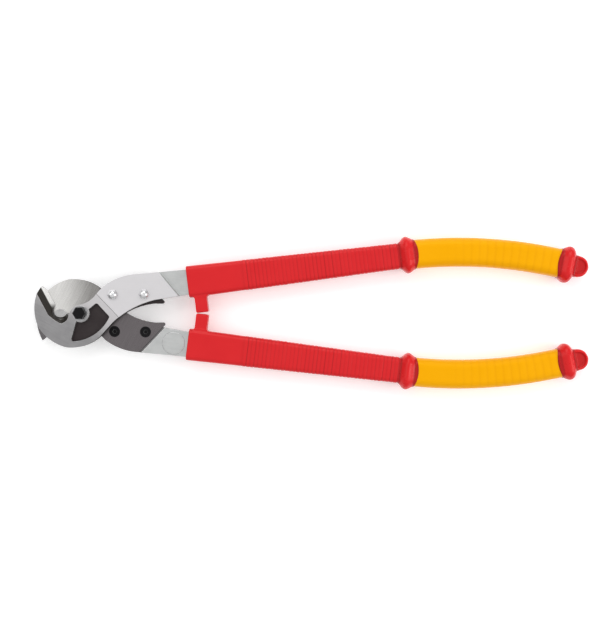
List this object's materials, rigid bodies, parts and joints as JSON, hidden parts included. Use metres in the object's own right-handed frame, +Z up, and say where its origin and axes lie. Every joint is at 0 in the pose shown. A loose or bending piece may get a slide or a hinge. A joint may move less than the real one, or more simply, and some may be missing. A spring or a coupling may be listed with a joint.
{
  "type": "cable cutter",
  "caption": "Two-hand electrician's cable cutter with hooked shearing jaws, a clamped pivot and long insulated handles with guard collars and knobbed ends.",
  "frame": {"origin": "on the axis of the jaw pivot, at the surface that the tool lies on; the lower end of the pivot bolt touches that surface", "axes": "+Z up along the pivot axis; +X from the pivot towards the handle ends, midway between the handles; +Y towards the handle whose bar lies over its jaw"},
  "size_m": [0.5995, 0.1658, 0.0329],
  "materials": {
    "jaw_steel": "forged and hardened steel, ground flat on both faces, with blackened sides and pocket",
    "bar_plating": "satin plated forging",
    "black_oxide": "black oxide on steel",
    "bright_plating": "bright plating",
    "bolt_black": "black oxide on steel, lightly oiled",
    "washer_plating": "dull zinc plating",
    "bush_steel": "ground steel with a film of oil",
    "red_sheath": "dipped insulating coating, half gloss",
    "red_guard": "dipped insulating coating, half gloss",
    "red_cap": "dipped insulating coating, half gloss",
    "yellow_sheath": "insulating coating, half gloss"
  },
  "bodies": {
    "lower_half": {"lower_jaw": "jaw_steel", "lower_handle_bar": "bar_plating", "lower_jaw_screws": "black_oxide", "lower_screw_nuts": "bright_plating", "lower_grip": "yellow_sheath", "lower_sleeve": "red_sheath", "lower_guard_collar": "red_guard", "lower_end_cap": "red_cap", "pivot_bush": "bush_steel", "pivot_bolt": "bolt_black", "pivot_nut": "bolt_black", "upper_pivot_washer": "washer_plating", "lower_pivot_washer": "washer_plating"},
    "upper_half": {"upper_jaw": "jaw_steel", "upper_handle_bar": "bar_plating", "upper_jaw_screws": "black_oxide", "upper_screw_nuts": "bright_plating", "upper_grip": "yellow_sheath", "upper_sleeve": "red_sheath", "upper_guard_collar": "red_guard", "upper_end_cap": "red_cap"}
  },
  "joints": [
    {"name": "jaw_pivot", "type": "hinge", "parent": "lower_half", "child": "upper_half", "pos_m": [0, 0, 0.016], "axis": [0, 0, 1], "range_deg": [0, 100]}
  ]
}
